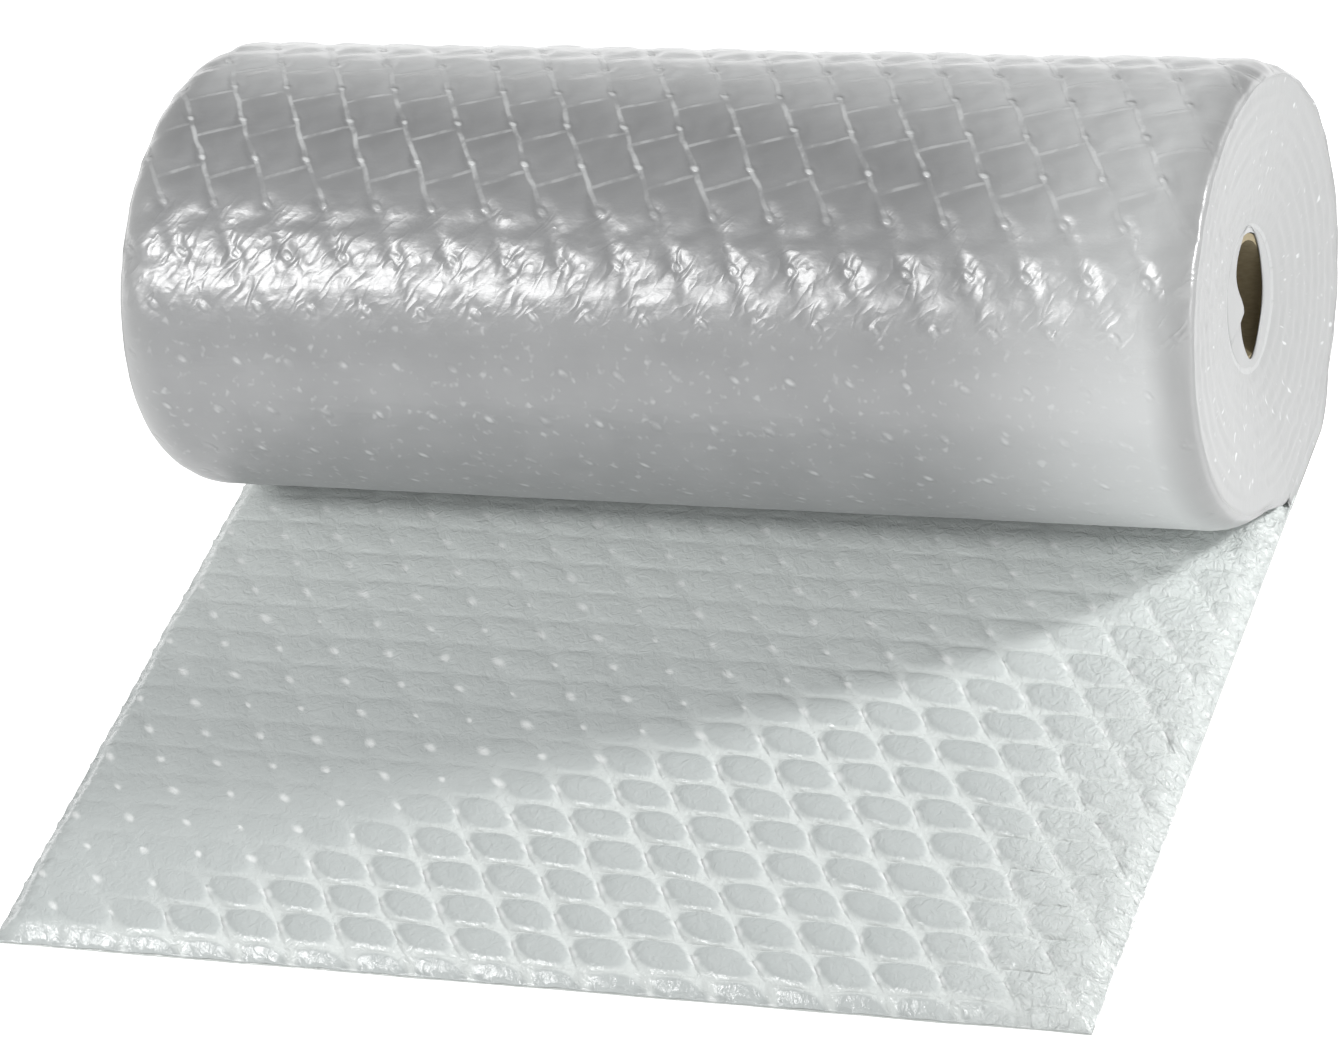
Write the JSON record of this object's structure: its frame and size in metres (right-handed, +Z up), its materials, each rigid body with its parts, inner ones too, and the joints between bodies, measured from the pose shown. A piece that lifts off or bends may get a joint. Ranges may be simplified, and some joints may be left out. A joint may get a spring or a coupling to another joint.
{
  "type": "bubble wrap roll",
  "caption": "Roll of clear air-bubble cushioning film on a cardboard core, lying on its side with the loose end run out flat in front, for wrapping fragile goods.",
  "frame": {"origin": "on the floor, under the middle of the footprint of roll and loose end together", "axes": "+X along the roll's axis and the width of the film, -Y the way the loose end runs out, +Z up"},
  "size_m": [0.5, 0.4469, 0.1945],
  "materials": {
    "bubble_film": "glossy, milky clear",
    "kraft_cardboard": "matte"
  },
  "bodies": {
    "root": {"bubble_web": "bubble_film", "core_tube": "kraft_cardboard"}
  },
  "joints": []
}
